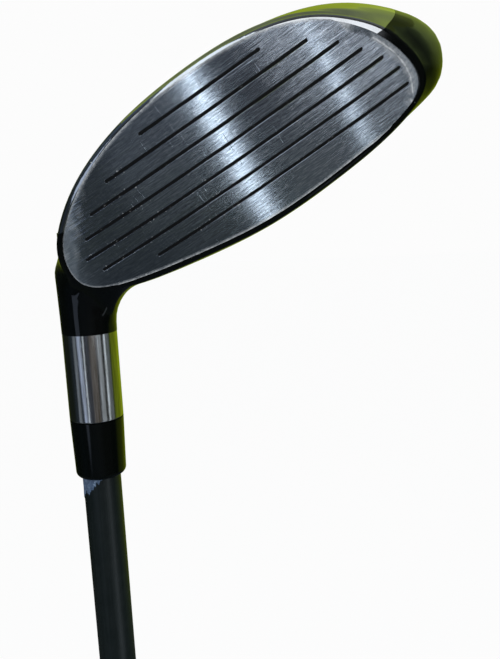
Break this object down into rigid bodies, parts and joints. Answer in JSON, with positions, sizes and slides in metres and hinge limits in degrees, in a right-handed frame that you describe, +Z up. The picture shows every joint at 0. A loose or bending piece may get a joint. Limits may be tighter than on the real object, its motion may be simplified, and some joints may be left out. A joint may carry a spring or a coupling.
{
  "type": "hybrid golf club",
  "caption": "Right-handed hybrid golf club: hollow steel head with a grooved face plate, bonded graphite shaft, ferrule and tapered rubber grip.",
  "frame": {"origin": "middle of the grip's butt end, on the shaft's axis", "axes": "+Z up the shaft's axis to the head, +X towards the toe, the face looks to -Y"},
  "size_m": [0.0987, 0.0622, 1.0438],
  "materials": {
    "face_steel": "fine brushed along the grooves",
    "sole_steel": "mirror polished",
    "body_paint": "deep gloss black",
    "groove_paint": "matt black paint fill",
    "hosel_steel": "polished, lightly satin",
    "ferrule_plastic": "turned and polished black",
    "shaft_graphite": "semi-gloss charcoal lacquer",
    "grip_rubber": "matt moulded rubber",
    "tape": "crepe tape",
    "weight_metal": "as machined",
    "weight_steel": "as machined",
    "bond": "cured glue"
  },
  "bodies": {
    "root": {"face_plate": "face_steel", "groove_paint": "groove_paint", "head_body": "body_paint", "crown_plate": "body_paint", "sole_plate": "sole_steel", "sole_weight": "weight_steel", "hot_melt_pad": "bond", "hosel_tube": "hosel_steel", "hosel_plug": "bond", "hosel_glue": "bond", "ferrule": "ferrule_plastic", "shaft": "shaft_graphite", "tip_weight": "weight_metal", "grip_tape": "tape", "grip_sleeve": "grip_rubber", "grip_cap": "grip_rubber"}
  },
  "joints": []
}
